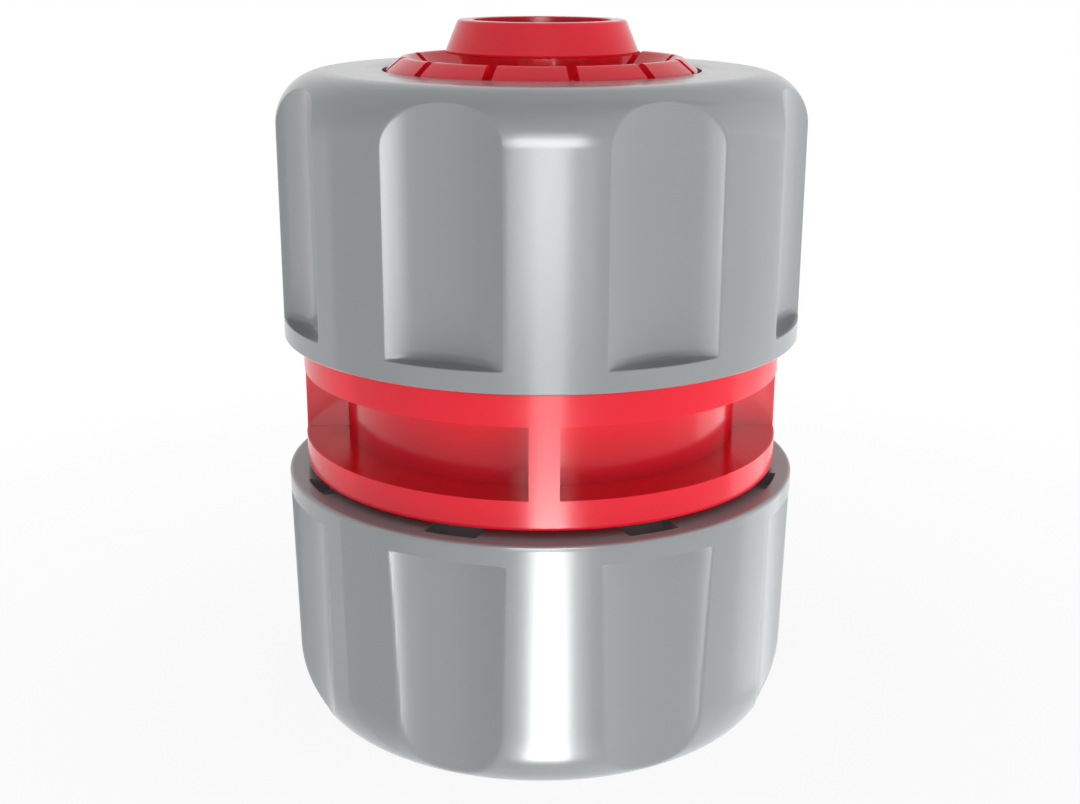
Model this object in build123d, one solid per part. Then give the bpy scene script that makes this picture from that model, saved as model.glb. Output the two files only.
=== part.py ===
"""Garden hose quick coupling: a hose clamp at the top and a plug socket with a release sleeve below.

The part stands on the foot of its release sleeve. The origin is the middle of the socket's
mouth in the plane of that foot, and +Z runs along the axis towards the hose. Azimuth 0 looks
out along -Y, and angles grow towards +X. All sizes are in millimetres.
"""
from build123d import *
import os
from math import cos, sin, radians, sqrt, pi

# Heights along the axis
sleeve_height = 18.42           # foot to rim of the release sleeve
sleeve_rim_gap = 0.55           # rim of the sleeve to the cage's lower flange
low_flange = 2.11               # thickness of the cage's lower flange
window_height = 5.07            # open windows between the cage's two flanges
top_flange = 2.25
nut_seat_gap = 0.3              # upper flange to the nut, when that is screwed right down
nut_height = 18.85
crown_rise = 0.85               # the collet's top face above the nut's
spigot_rise = 2.55              # the spigot's tip above the collet's top face

cage_low_z = sleeve_height + sleeve_rim_gap
window_low_z = cage_low_z + low_flange
window_top_z = window_low_z + window_height
cage_top_z = window_top_z + top_flange
nut_low_z = cage_top_z + nut_seat_gap
nut_top_z = nut_low_z + nut_height
crown_z = nut_top_z + crown_rise
spigot_z = crown_z + spigot_rise

# Cage and socket of the body
cage_run = 3.13                 # flanges and webs, past the drum
drum_wall = 1.6
web_width = 2.05
web_count = 4
web_turn = 0.8                  # azimuth of one web, degrees
cage_edge = 0.15                # chamfer on the outer edges of both flanges
socket_r = 9.1                  # entry, which clears the plug's ridge
seal_step = 0.9                 # the smooth bore for the plug's nose is smaller than the entry
tube_wall = 2.2
drum_gap = 1.65                 # ring-shaped hollow between the tube and the drum's wall
tube_low_z = 0.6                # the tube's mouth lies a little inside the sleeve
mouth_chamfer = 0.7
socket_depth = 11.8             # mouth to the cone that leads into the seal bore
seal_cone = 1.2
seal_length = 11.8
boss_run = 1.1                  # boss under the lower flange, which stops the sleeve
stop_gap = 0.1
core_roof = 1.9                 # thickness over the ring-shaped hollow in the drum

# Spigot and threaded barrel of the body
water_r = 4.5
spigot_wall = 1.25
mouth_flare = 0.4
mouth_depth = 0.9
tip_run = 0.25                  # past the neck: the tip, the barbs and the cone's base
barb_run = 0.7
cone_run = 1.13
cone_height = 2.3
barb_pitch = 3.4
barb_count = 4
barrel_wall = 1.9
step_rise = 0.8                 # barrel's top to the step inside the nut

# Hose collet
finger_count = 12
finger_slot = 0.7
slot_turn = 11.0                # azimuth of one slot, degrees
crown_gap = 0.17                # cone of the spigot to the hole in the crown
crown_run = 3.0                 # width of the crown's flat top
crown_slope = 1.05
cone_in = 1.65                  # the fingers' outside narrows by this much
head_height = 5.2
tooth_depth = 0.55
tooth_count = 4
collet_wall = 1.65
collet_lift = 0.2               # above the floor of the barrel, with the nut screwed down
collet_base = 5.4               # solid ring under the slots
barrel_gap = 0.25               # collet inside the barrel
cone_drop = 6.0                 # height of the conical outside of the fingers

# Clamp nut
nut_wall = 3.1
nut_shoulder = 3.7
thread_room = 1.0
nut_neck = 8.35                 # top of the nut down to the step over the barrel
nut_chamfer = 0.8
nut_edge = 0.3
nut_cone_gap = 0.25
bead_reach = 0.2                # the nut's inner bead, past the outside of the collet
bead_gap = 0.3                  # bead to the bottom of the collet's groove
bead_height = 0.5
nut_band = 1.9                  # plain band under the grips

# Grips, shared out over the nut and the sleeve
grip_count = 8
grip_turn = 25.3                # azimuth of the middle of one grip, degrees
nut_grip_depth = 1.34
nut_grip_width = 8.22
ledge_rise = 0.35
ledge_blend = 0.4
sleeve_grip_depth = 1.36
sleeve_grip_width = 8.5
sleeve_band = 1.45              # plain band over the grips

# Release sleeve
sleeve_wall = 3.16
taper = 0.24                    # rim to the top of the rounded foot
foot_round_height = 4.7
foot_round_run = 2.3
rim_edge = 0.2
sleeve_roof = 1.37
roof_run = 1.7
lip_run = 0.6
pocket_width = 3.75
pocket_rim = 1.06               # rim of the sleeve to the outer end of a pocket
pocket_depth = 1.0
pocket_start = 0.1              # the sleeve's bore to the inner end of a pocket

# Claws, lock ring and mouth ring
claw_count = 8
claw_low_z = 4.6
claw_height = 3.4
claw_width = 3.4
claw_head_width = 5.0
claw_tip_gap = 0.2              # claw's tip to a plug's nose
claw_tip_land = 1.0             # height of the tip under the catch face
claw_lead = 1.1                 # run of the claw's lead-in slope
claw_head_run = 1.3             # outside of the head at its lower edge, past the tube
lock_run = 3.3                  # the sleeve's bore, past the head's lower edge
claw_gap = 0.15                 # claw to the sides of its window, and head to the tube
claw_stroke = 0.9
sleeve_stroke = 2.4
lock_gap = 0.2                  # claw head to the lock ring's cone
lock_fit = 0.05                 # lock ring inside the sleeve
lock_low_z = 4.2
mouth_ring_run = 2.5            # past the tube
mouth_ring_height = 1.0

# Spring and its seat
seat_gap = 0.25                 # above the lock ring
seat_thickness = 1.0
seat_run = 1.5                  # the sleeve's bore to the rim of the seat
seat_fit = 0.03
bead_r = 0.3                    # beads on the tube that hold the seat and the mouth ring
wire_d = 0.8
spring_low_run = 1.9            # past the tube; the spring is a cone, so its turns nest
spring_top_gap = 0.9            # middle of the wire to the sleeve's bore
spring_turns = 3.0
spring_dead = 0.7               # flat turn at each end
spring_fit = 0.02

# Radii of the socket end, each from the one inside it
seal_r = socket_r - seal_step
tube_r = socket_r + tube_wall
drum_r = tube_r + drum_gap + drum_wall
cage_r = drum_r + cage_run
claw_tip_r = seal_r + claw_tip_gap
claw_lead_r = claw_tip_r + claw_lead
claw_head_r = tube_r + claw_head_run
sleeve_bore_r = claw_head_r + lock_run
roof_hole_r = sleeve_bore_r - roof_run
lip_r = sleeve_bore_r - lip_run
rim_r = sleeve_bore_r + sleeve_wall
waist_r = rim_r - taper
pocket_r = rim_r - pocket_rim
pocket_low_r = sleeve_bore_r + pocket_start
sleeve_grip_floor = rim_r - sleeve_grip_depth
mouth_ring_r = tube_r + mouth_ring_run
seat_r = sleeve_bore_r - seat_run
spring_low_r = tube_r + spring_low_run
spring_top_r = sleeve_bore_r - spring_top_gap

# Radii of the hose end, from the water way outwards
mouth_r = water_r + mouth_flare
neck_r = water_r + spigot_wall
tip_r = neck_r + tip_run
barb_r = neck_r + barb_run
cone_r = neck_r + cone_run
crown_hole_r = cone_r + crown_gap
crown_top_r = crown_hole_r + crown_run
crown_edge_r = crown_top_r + crown_slope
collet_r = crown_edge_r + cone_in
barrel_bore_r = collet_r + barrel_gap
barrel_r = barrel_bore_r + barrel_wall
nut_bore_r = barrel_r + thread_room
nut_r = nut_bore_r + nut_wall
nut_grip_floor = nut_r - nut_grip_depth

# Heights and other values that several pieces share
socket_top_z = tube_low_z + socket_depth
seal_low_z = socket_top_z + seal_cone
seal_top_z = seal_low_z + seal_length
step_z = nut_top_z - nut_neck
barrel_top_z = step_z - step_rise
collet_low_z = cage_top_z + collet_lift
nut_bead_r = collet_r - bead_reach
groove_r = nut_bead_r - bead_gap
groove_low_z = barrel_top_z + 0.6
lock_slope = claw_stroke / sleeve_stroke
claw_top_z = claw_low_z + claw_height
lock_top_z = claw_top_z + sleeve_stroke + 0.1
seat_low_z = lock_top_z + seat_gap
seat_top_z = seat_low_z + seat_thickness
roof_low_z = sleeve_height - sleeve_roof
mouth_ring_top_z = tube_low_z + mouth_ring_height
grip_step = 360 / grip_count


def solid_of(section):
    """The solid of revolution about Z of a closed outline drawn as radius (X) and height (Y)."""
    return revolve(Plane.XZ * make_face(section), Axis.Z)


def spin(points):
    """A solid of revolution from the corners of its half section, as radius and height."""
    return solid_of(Polyline(*points, close=True))


def ring(inner, outer, low, high):
    """A plain ring."""
    return spin([(inner, low), (outer, low), (outer, high), (inner, high)])


def facing(shape, azimuth):
    """A shape made facing -Y, turned about the axis to face an azimuth."""
    return Rot(0, 0, azimuth) * shape


def bar(width, near, far, low, high):
    """A block that faces -Y, from a near to a far distance off the axis."""
    block = Box(width, far - near, high - low, align=(Align.CENTER, Align.MAX, Align.MIN))
    return Pos(0, -near, low) * block


def barb_corners():
    """The corners of the saw-tooth barbs under the spigot's cone, from the top one down."""
    corners = []
    for i in range(barb_count):
        ledge = spigot_z - cone_height - (i + 1) * barb_pitch
        corners += [(neck_r, ledge + barb_pitch * 0.55), (barb_r, ledge), (neck_r, ledge)]
    return corners


def hose_body():
    """The one-piece moulding: spigot, threaded barrel, cage with open windows, and socket tube."""
    cone_z = spigot_z - cone_height
    seat_bead_z = seat_low_z
    section = [
        (mouth_r, spigot_z), (tip_r, spigot_z), (cone_r, cone_z), (neck_r, cone_z),
        *barb_corners(),
        (neck_r, cage_top_z), (barrel_bore_r, cage_top_z), (barrel_bore_r, barrel_top_z),
        (barrel_r - 0.5, barrel_top_z), (barrel_r, barrel_top_z - 0.5), (barrel_r, cage_top_z),
        (cage_r - cage_edge, cage_top_z), (cage_r, cage_top_z - cage_edge), (cage_r, window_top_z),
        (drum_r, window_top_z), (drum_r, window_low_z), (cage_r, window_low_z),
        (cage_r, cage_low_z + cage_edge), (cage_r - cage_edge, cage_low_z),
        (drum_r + boss_run, cage_low_z), (drum_r + boss_run, sleeve_height + stop_gap),
        (drum_r - drum_wall, sleeve_height + stop_gap), (drum_r - drum_wall, cage_top_z - core_roof),
        (tube_r, cage_top_z - core_roof), (tube_r, seat_bead_z),
        (tube_r + bead_r, seat_bead_z), (tube_r, seat_bead_z - 0.4),
        (tube_r, mouth_ring_top_z - 0.25), (tube_r - bead_r, mouth_ring_top_z - 0.25),
        (tube_r - bead_r, mouth_ring_top_z - 0.65), (tube_r, mouth_ring_top_z - 0.65),
        (tube_r, tube_low_z), (socket_r + mouth_chamfer, tube_low_z),
        (socket_r, tube_low_z + mouth_chamfer), (socket_r, socket_top_z), (seal_r, seal_low_z),
        (seal_r, seal_top_z), (water_r, seal_top_z + (seal_r - water_r) * 0.6),
        (water_r, spigot_z - mouth_depth),
    ]
    body = spin(section)
    web = bar(web_width, drum_r - 0.8, cage_r + 1, window_low_z, window_top_z)
    web &= ring(drum_r - 0.8, cage_r, window_low_z, window_top_z)
    for i in range(web_count):
        body += facing(web, web_turn + i * 360 / web_count)
    side = claw_width + 2 * claw_gap
    window = bar(side, socket_r - 2, tube_r + 1, claw_low_z - claw_gap, claw_top_z + claw_gap)
    for i in range(claw_count):
        body -= facing(window, grip_turn + i * 360 / claw_count)
    return body


def hose_collet():
    """The collet: a ring with flexible fingers, whose toothed heads close on the hose."""
    stem_r = collet_r - collet_wall
    head_z = crown_z - head_height
    slope = (stem_r - crown_hole_r - tooth_depth) * 0.45
    pitch = (head_height - 0.8) / tooth_count
    inside = [(stem_r, head_z - slope)]
    for i in range(tooth_count):
        low = head_z + i * pitch
        inside += [(crown_hole_r + tooth_depth, low), (crown_hole_r, low + pitch * 0.85)]
    inside += [(crown_hole_r, crown_z)]
    collet = spin([
        (stem_r, collet_low_z), (collet_r - 0.3, collet_low_z), (collet_r, collet_low_z + 0.3),
        (collet_r, groove_low_z), (groove_r, groove_low_z + 0.3),
        (groove_r, nut_top_z - cone_drop - 0.4), (collet_r, nut_top_z - cone_drop),
        (crown_edge_r, nut_top_z), (crown_top_r, crown_z), *reversed(inside),
    ])
    slot = bar(finger_slot, crown_hole_r - 2, collet_r + 1, collet_low_z + collet_base, crown_z + 1)
    for i in range(finger_count):
        collet -= facing(slot, slot_turn + i * 360 / finger_count)
    return collet


def grip_bar(outer_r, floor_r, width, low, high):
    """A round upright bar that cuts one concave grip of a width into an outside of a radius."""
    edge = sqrt(outer_r**2 - (width / 2) ** 2)
    depth = edge - floor_r
    bar_r = ((width / 2) ** 2 + depth**2) / (2 * depth)
    cylinder = Cylinder(bar_r, high - low, align=(Align.CENTER, Align.CENTER, Align.MIN))
    return Pos(0, -floor_r - bar_r, low) * cylinder


def clamp_nut():
    """The nut: a domed shoulder, eight concave grips and a cone inside that closes the fingers."""
    low, top = nut_low_z, nut_top_z
    shoulder_z = top - nut_shoulder
    hole_r = crown_edge_r + nut_cone_gap
    throat_r = collet_r + nut_cone_gap
    bead_z = step_z + 0.2
    outline = Polyline(
        (nut_r - nut_shoulder, top), (hole_r, top), (throat_r, top - cone_drop),
        (throat_r, bead_z + bead_height + 0.4), (nut_bead_r, bead_z + bead_height),
        (nut_bead_r, bead_z), (throat_r, step_z), (nut_bore_r, step_z),
        (nut_bore_r, low + nut_chamfer), (nut_bore_r + nut_chamfer, low),
        (nut_r - nut_edge, low), (nut_r, low + nut_edge), (nut_r, shoulder_z))
    outline += CenterArc((nut_r - nut_shoulder, shoulder_z), nut_shoulder, 0, 90)
    nut = solid_of(outline)
    inner = nut_grip_floor
    ledge = low + nut_band
    keep = spin([
        (inner - 1, ledge + ledge_rise + ledge_blend + 1.0), (inner, ledge + ledge_rise + ledge_blend),
        (inner + ledge_blend, ledge + ledge_rise * 0.7), (nut_r, ledge), (nut_r + 2, ledge),
        (nut_r + 2, top + 1), (inner - 1, top + 1),
    ])
    cutter = grip_bar(nut_r, nut_grip_floor, nut_grip_width, low, top + 1) & keep
    for i in range(grip_count):
        nut -= facing(cutter, grip_turn + i * grip_step)
    return nut


def release_sleeve():
    """The sleeve: concave grips that run out in the rounded foot, and a roof for the spring."""
    centre_r = waist_r - foot_round_run
    outline = Polyline(
        (waist_r, foot_round_height), (rim_r, sleeve_height - rim_edge),
        (rim_r - rim_edge, sleeve_height), (roof_hole_r, sleeve_height), (roof_hole_r, roof_low_z),
        (sleeve_bore_r, roof_low_z), (sleeve_bore_r, lock_low_z - lock_fit),
        (lip_r, lock_low_z - lock_fit - 0.6), (lip_r, 0.0), (centre_r, 0.0))
    outline += EllipticalCenterArc(
        (centre_r, foot_round_height), foot_round_run, foot_round_height, 270, arc_size=90)
    sleeve = solid_of(outline)
    top = sleeve_height - sleeve_band
    cutter = grip_bar(rim_r - 0.03, sleeve_grip_floor, sleeve_grip_width, -1, top)
    pocket = bar(pocket_width, pocket_low_r, pocket_r + 1, sleeve_height - pocket_depth, sleeve_height + 1)
    pocket &= ring(pocket_low_r - 1, pocket_r, sleeve_height - pocket_depth, sleeve_height + 1)
    for i in range(grip_count):
        sleeve -= facing(cutter, grip_turn + i * grip_step)
        sleeve -= facing(pocket, grip_turn + i * grip_step)
    return sleeve


def cone_at(height):
    """The radius of a claw head's sloped back at a height."""
    return claw_head_r + lock_slope * (height - claw_low_z)


def lock_ring():
    """The ring in the sleeve whose cone holds the claws in until the sleeve is pushed down."""
    outer = sleeve_bore_r - lock_fit
    return spin([
        (cone_at(lock_low_z) + lock_gap, lock_low_z), (outer - 0.2, lock_low_z),
        (outer, lock_low_z + 0.2), (outer, lock_top_z), (cone_at(lock_top_z) + lock_gap, lock_top_z),
    ])


def mouth_ring():
    """The ring snapped round the socket's mouth, which stops the sleeve at its full stroke."""
    inner = tube_r + seat_fit
    top = mouth_ring_top_z
    return spin([
        (inner, tube_low_z), (mouth_ring_r - 0.25, tube_low_z), (mouth_ring_r, tube_low_z + 0.25),
        (mouth_ring_r, top), (inner, top), (inner, top - 0.3), (inner - bead_r, top - 0.4),
        (inner - bead_r, top - 0.55), (inner, top - 0.62),
    ])


def spring_seat():
    """The ring that snaps over a bead on the tube and carries the sleeve's spring."""
    rim = seat_top_z + 0.5
    return spin([
        (tube_r + seat_fit, seat_low_z + seat_fit), (seat_r, seat_low_z + seat_fit),
        (seat_r, rim), (seat_r - 0.5, rim), (seat_r - 0.7, seat_top_z), (tube_r + seat_fit, seat_top_z),
    ])


def sleeve_spring():
    """The conical wire spring that pushes the sleeve up against its stop."""
    low = seat_top_z + wire_d / 2 + spring_fit
    high = roof_low_z - wire_d / 2 - spring_fit
    steps = 12
    total = spring_turns + 2 * spring_dead
    points = []
    for i in range(int(total * steps) + 1):
        turn = i / steps
        part = min(max((turn - spring_dead) / spring_turns, 0), 1)
        part = part * part * (3 - 2 * part) * 0.3 + part * 0.7
        radius = spring_low_r + (spring_top_r - spring_low_r) * part
        angle = turn * 2 * pi
        points.append((radius * cos(angle), radius * sin(angle), low + (high - low) * part))
    path = Spline(*points)
    start = Plane(origin=path @ 0, z_dir=path % 0)
    return sweep(start * RegularPolygon(wire_d / 2, 8), path, is_frenet=True)


def latch_claw(azimuth):
    """One claw: a catch that slides in a window of the tube, with a head too wide to fall in."""
    head_r = tube_r + claw_gap
    tip = Polyline(
        (claw_tip_r, claw_top_z), (claw_tip_r, claw_top_z - claw_tip_land), (claw_lead_r, claw_low_z),
        (head_r + 0.3, claw_low_z), (head_r + 0.3, claw_top_z), close=True)
    stem = extrude(Plane.XZ * make_face(tip), claw_width / 2, both=True)
    wedge = spin([
        (head_r, claw_low_z), (cone_at(claw_low_z), claw_low_z),
        (cone_at(claw_top_z), claw_top_z), (head_r, claw_top_z)])
    head = wedge & bar(claw_head_width, head_r - 1.5, 16, claw_low_z, claw_top_z)
    return facing(facing(stem, -90) + head, azimuth)


parts = {
    "hose_body": hose_body(),
    "hose_collet": hose_collet(),
    "clamp_nut": clamp_nut(),
    "release_sleeve": release_sleeve(),
    "lock_ring": lock_ring(),
    "mouth_ring": mouth_ring(),
    "spring_seat": spring_seat(),
    "sleeve_spring": sleeve_spring(),
}
for i in range(claw_count):
    parts[f"latch_claw_{i + 1}"] = latch_claw(grip_turn + i * 360 / claw_count)

os.makedirs("parts", exist_ok=True)
for name, shape in parts.items():
    export_step(shape, f"parts/{name}.step")
    box = shape.bounding_box()
    print(name, len(shape.solids()), round(shape.volume, 2),
          [round(v, 2) for v in (*box.min, *box.max)])
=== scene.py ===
# %% [markdown]
# # A garden hose coupling, dressed for its picture
#
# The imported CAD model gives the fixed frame: every piece of the coupling at its real size, grouped into
# the bodies that move. This lesson replaces the moulded pieces that one sees with finer surfaces of the
# same size, gives each piece a plastic or steel finish, and lights them like a product picture.

# %% Load the frame
import math

import bpy
import numpy as np
from mathutils import Matrix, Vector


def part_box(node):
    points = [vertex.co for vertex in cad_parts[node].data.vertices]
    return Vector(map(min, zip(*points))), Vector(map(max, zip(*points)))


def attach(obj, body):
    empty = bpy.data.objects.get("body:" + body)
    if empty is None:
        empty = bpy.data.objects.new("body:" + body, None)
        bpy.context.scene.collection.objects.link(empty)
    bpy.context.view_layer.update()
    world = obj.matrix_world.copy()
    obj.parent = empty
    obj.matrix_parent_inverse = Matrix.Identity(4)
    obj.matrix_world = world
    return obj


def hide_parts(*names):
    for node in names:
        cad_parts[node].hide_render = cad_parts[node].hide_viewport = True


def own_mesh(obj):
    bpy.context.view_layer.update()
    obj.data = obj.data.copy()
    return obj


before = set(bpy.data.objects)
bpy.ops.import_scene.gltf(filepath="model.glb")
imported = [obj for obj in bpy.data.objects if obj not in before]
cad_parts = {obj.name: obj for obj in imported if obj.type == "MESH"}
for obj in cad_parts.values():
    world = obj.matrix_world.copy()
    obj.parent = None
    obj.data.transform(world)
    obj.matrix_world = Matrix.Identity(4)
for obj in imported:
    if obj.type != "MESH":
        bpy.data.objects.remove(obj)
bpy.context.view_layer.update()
MM = 0.001

# %% [markdown]
# ## Sizes read from the frame
#
# A new surface has to lie where the CAD piece lies, so its main sizes come from that piece's box. All
# outlines below are in millimetres, and `new_mesh_object` turns them into metres at the very end.


# %% Radius and heights of the main pieces
def reach(node):
    """Outer radius, lowest height and highest height of a CAD node, in millimetres."""
    low, high = np.array(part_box(node)) / MM
    return round(float(max(high[0], high[1])), 2), round(float(low[2]), 2), round(float(high[2]), 2)


NUT_R, NUT_LOW, NUT_TOP = reach("clamp_nut")
RIM_R, FOOT_Z, SLEEVE_TOP = reach("release_sleeve")
CAGE_R, _, SPIGOT_TOP = reach("hose_body")
COLLET_R, COLLET_LOW, CROWN_Z = reach("hose_collet")
LOCK_R, LOCK_LOW, LOCK_TOP = reach("lock_ring")
MOUTH_R, MOUTH_LOW, MOUTH_TOP = reach("mouth_ring")
SEAT_R, SEAT_LOW, SEAT_TOP = reach("spring_seat")
print(f"nut r {NUT_R}, z {NUT_LOW} to {NUT_TOP}; sleeve r {RIM_R}, z {FOOT_Z} to {SLEEVE_TOP}")
print(f"cage r {CAGE_R}; spigot top {SPIGOT_TOP}; crown {CROWN_Z}")

# %% [markdown]
# ## Shader maths as plain expressions
#
# A finish is easier to read as a formula than as a wiring diagram. `Value` wraps a node's output, and its
# operators add Math nodes. `Finish` holds one material's node tree, and its single `node` method makes any
# node from its type, its settings and the values or links of its sockets.


# %% The two small classes behind every finish
class Value:
    """A node's output with arithmetic: each operator adds one Math node."""

    def __init__(self, finish, socket):
        self.finish = finish
        self.socket = socket

    def _math(self, operation, first, second):
        return self.finish.node("ShaderNodeMath", {"operation": operation}, {0: first, 1: second})

    def __add__(self, other):
        return self._math("ADD", self, other)

    def __radd__(self, other):
        return self._math("ADD", other, self)

    def __sub__(self, other):
        return self._math("SUBTRACT", self, other)

    def __rsub__(self, other):
        return self._math("SUBTRACT", other, self)

    def __mul__(self, other):
        return self._math("MULTIPLY", self, other)

    def __rmul__(self, other):
        return self._math("MULTIPLY", other, self)

    def at_least(self, other):
        return self._math("MAXIMUM", self, other)

    def at_most(self, other):
        return self._math("MINIMUM", self, other)


class Finish:
    """One material: a node tree with an output, filled through a single method."""

    def __init__(self, name):
        self.material = bpy.data.materials.new(name)
        self.material.use_nodes = True
        self.tree = self.material.node_tree
        self.tree.nodes.clear()
        self.output = self.tree.nodes.new("ShaderNodeOutputMaterial")

    def node(self, kind, settings=None, sockets=None, out=0):
        """Makes a node, sets its settings, then sets or links its sockets, and returns one output."""
        made = self.tree.nodes.new(kind)
        for key, value in (settings or {}).items():
            setattr(made, key, value)
        for key, value in (sockets or {}).items():
            if isinstance(value, Value):
                self.tree.links.new(value.socket, made.inputs[key])
            else:
                made.inputs[key].default_value = value
        return Value(self, made.outputs[out])

    def finish(self, surface):
        """Links the last shader to the output and returns the material."""
        self.tree.links.new(surface.socket, self.output.inputs["Surface"])
        return self.material


# %% [markdown]
# ## Moulded plastic
#
# The real pieces are injection moulded and polished. Close up, such a surface has a faint orange peel, a
# colour that drifts a little as the melt cools, and a sheen that is not quite even. Each of these follows a
# slow or a fast noise in the piece's own coordinates, kept weak so that the plastic stays clean. The finish
# also paints shade into the colour: a mesh attribute, from 0 in the open to 1 where the shade is deepest,
# darkens the colour in corners and under other parts, and on the grey pieces it also turns the surface matt
# there, so that the reflections dim too. Pieces without it have none.


# %% Plastic finishes
def moulded_plastic(name, colour, roughness, drift=0.03, peel=0.006, gloss=0.5, shade_darkening=0.4, shade_matt=0.0):
    """Glossy plastic: colour drift, roughness drift and an orange-peel bump, and painted shade that darkens
    and dulls recesses.
    """
    f = Finish(name)
    place = f.node("ShaderNodeTexCoord", out=3)
    slow = f.node("ShaderNodeTexNoise", sockets={"Vector": place, "Scale": 90.0, "Detail": 2.0})
    fine = f.node("ShaderNodeTexNoise", sockets={"Vector": place, "Scale": 900.0, "Detail": 3.0})
    grain = f.node("ShaderNodeTexNoise", sockets={"Vector": place, "Scale": 5200.0, "Detail": 2.0})
    dark = [c * (1 - drift) for c in colour]
    light = [min(1.0, c * (1 + drift)) for c in colour]
    tone = f.node("ShaderNodeMix", {"data_type": "RGBA"},
                  {0: slow, 6: (*dark, 1.0), 7: (*light, 1.0)}, out=2)
    # Painted shade: where the mesh attribute is high, the colour goes towards a darker copy of itself.
    painted_shade = f.node("ShaderNodeAttribute", {"attribute_name": "painted_shade"}, out=2)
    tone = f.node("ShaderNodeMix", {"data_type": "RGBA"},
                  {0: painted_shade, 6: tone, 7: (*[c * (1 - shade_darkening) for c in colour], 1.0)}, out=2)
    sheen = roughness + 0.04 * (fine - 0.5) + 0.04 * (slow - 0.5)
    bump = f.node("ShaderNodeBump", sockets={
        "Strength": peel, "Distance": 0.0002, "Height": 0.7 * fine + 0.3 * grain})
    surface = f.node("ShaderNodeBsdfPrincipled", sockets={
        "Base Color": tone, "Roughness": sheen, "Normal": bump, "IOR": 1.49, "Specular IOR Level": gloss})
    # Where the painted shade lies, a matt copy takes over, so that the shade also dims the reflections
    # there.
    if shade_matt > 0:
        matt_in_shade = f.node("ShaderNodeBsdfDiffuse", sockets={"Color": tone})
        surface = f.node("ShaderNodeMixShader", sockets={
            0: shade_matt * (3.0 * painted_shade).at_most(1.0), 1: surface, 2: matt_in_shade})
    return f.finish(surface)


grey_plastic = moulded_plastic("grey_plastic_finish", (0.318, 0.337, 0.349), 0.18, shade_darkening=0.5, shade_matt=0.3)
red_plastic = moulded_plastic("red_plastic_finish", (0.93, 0.008, 0.03), 0.18, gloss=0.4, shade_darkening=0.5)
natural_plastic = moulded_plastic("natural_acetal_finish", (0.74, 0.73, 0.67), 0.42, 0.04, 0.03)
dark_plastic = moulded_plastic("dark_plastic_finish", (0.055, 0.056, 0.06), 0.45, 0.08, 0.04)
print("plastics:", len([m for m in bpy.data.materials if m.name.endswith("_finish")]))

# %% [markdown]
# ## Spring wire
#
# The spring is drawn stainless wire. Drawing leaves fine lines along the wire and a slightly uneven sheen,
# so the roughness follows a noise that is much finer across the wire than along it.


# %% Steel finish
def drawn_wire(name):
    """Drawn steel: metallic, with a sheen that varies in fine streaks."""
    f = Finish(name)
    place = f.node("ShaderNodeTexCoord", out=3)
    streaks = f.node("ShaderNodeTexNoise", sockets={"Vector": place, "Scale": 2600.0, "Detail": 3.0})
    patches = f.node("ShaderNodeTexNoise", sockets={"Vector": place, "Scale": 300.0, "Detail": 1.0})
    tone = f.node("ShaderNodeMix", {"data_type": "RGBA"},
                  {0: patches, 6: (0.47, 0.47, 0.48, 1.0), 7: (0.62, 0.62, 0.63, 1.0)}, out=2)
    bump = f.node("ShaderNodeBump", sockets={"Strength": 0.08, "Distance": 0.0001, "Height": streaks})
    surface = f.node("ShaderNodeBsdfPrincipled", sockets={
        "Base Color": tone, "Metallic": 1.0, "Roughness": 0.24 + 0.16 * streaks, "Normal": bump})
    return f.finish(surface)


spring_steel = drawn_wire("spring_wire_finish")

# %% [markdown]
# ## Turned surfaces with pockets
#
# Every moulded piece here is a turned shape with something repeated round it: windows between webs, slots
# between fingers, pockets in a rim. So one function makes them all. A closed outline of radius and height
# is carried round the axis. Between two of its points it has two versions, a plain one and a cut one, and
# the columns round the axis take one or the other. The sides of a pocket are flat and parallel, because the
# angle of a boundary column is the arc sine of the half width over the radius, so it runs at a constant
# distance from the pocket's middle plane.


# %% The surface maker
def softened(points, radius, steps=3):
    """A closed outline with each corner rounded: a short parabola between points on both its edges."""
    p = np.asarray(points, float)
    before = np.roll(p, 1, axis=0) - p
    after = np.roll(p, -1, axis=0) - p
    reach_in = np.minimum(radius, 0.4 * np.linalg.norm(before, axis=1))[:, None]
    reach_out = np.minimum(radius, 0.4 * np.linalg.norm(after, axis=1))[:, None]
    first = p + before / np.linalg.norm(before, axis=1)[:, None] * reach_in
    last = p + after / np.linalg.norm(after, axis=1)[:, None] * reach_out
    t = np.linspace(0, 1, steps + 1)[None, :, None]
    curve = (1 - t) ** 2 * first[:, None] + 2 * t * (1 - t) * p[:, None] + t**2 * last[:, None]
    return curve.reshape(-1, 2)


def crowded(start, end, count):
    """Values from start to end that lie closer together near both ends, after half a cosine wave."""
    return start + (end - start) * (0.5 - 0.5 * np.cos(np.pi * np.linspace(0, 1, count + 1)))


def column_fan(repeats, half_width, narrow, wide, start, crease=None):
    """Column angles as functions of the radius: narrow spans of a fixed width, wide spans between.

    With a crease, the wide columns also crowd at that share of the wide span, and at the same share from
    its other end.
    """
    u = np.linspace(-1, 1, narrow + 1)
    if crease is None:
        v = crowded(0, 1, wide)[1:-1]
    else:
        side = wide // 4
        v = np.concatenate([crowded(0, crease, side), crowded(crease, 1 - crease, wide - 2 * side)[1:],
                            crowded(1 - crease, 1, side)[1:]])[1:-1]

    def angles(radius):
        edge = np.arcsin(np.minimum(half_width / np.maximum(radius, 1e-6), 0.999))[..., None]
        step = 2 * np.pi / repeats
        cell = np.concatenate([edge * u, edge + (step - 2 * edge) * v], axis=-1)
        turns = start + step * np.arange(repeats)
        spread = turns[:, None] + cell[..., None, :]
        return spread.reshape(len(radius), repeats * (narrow + wide))

    kind = np.tile(np.concatenate([np.ones(narrow, bool), np.zeros(wide, bool)]), repeats)
    return angles, kind


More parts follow.
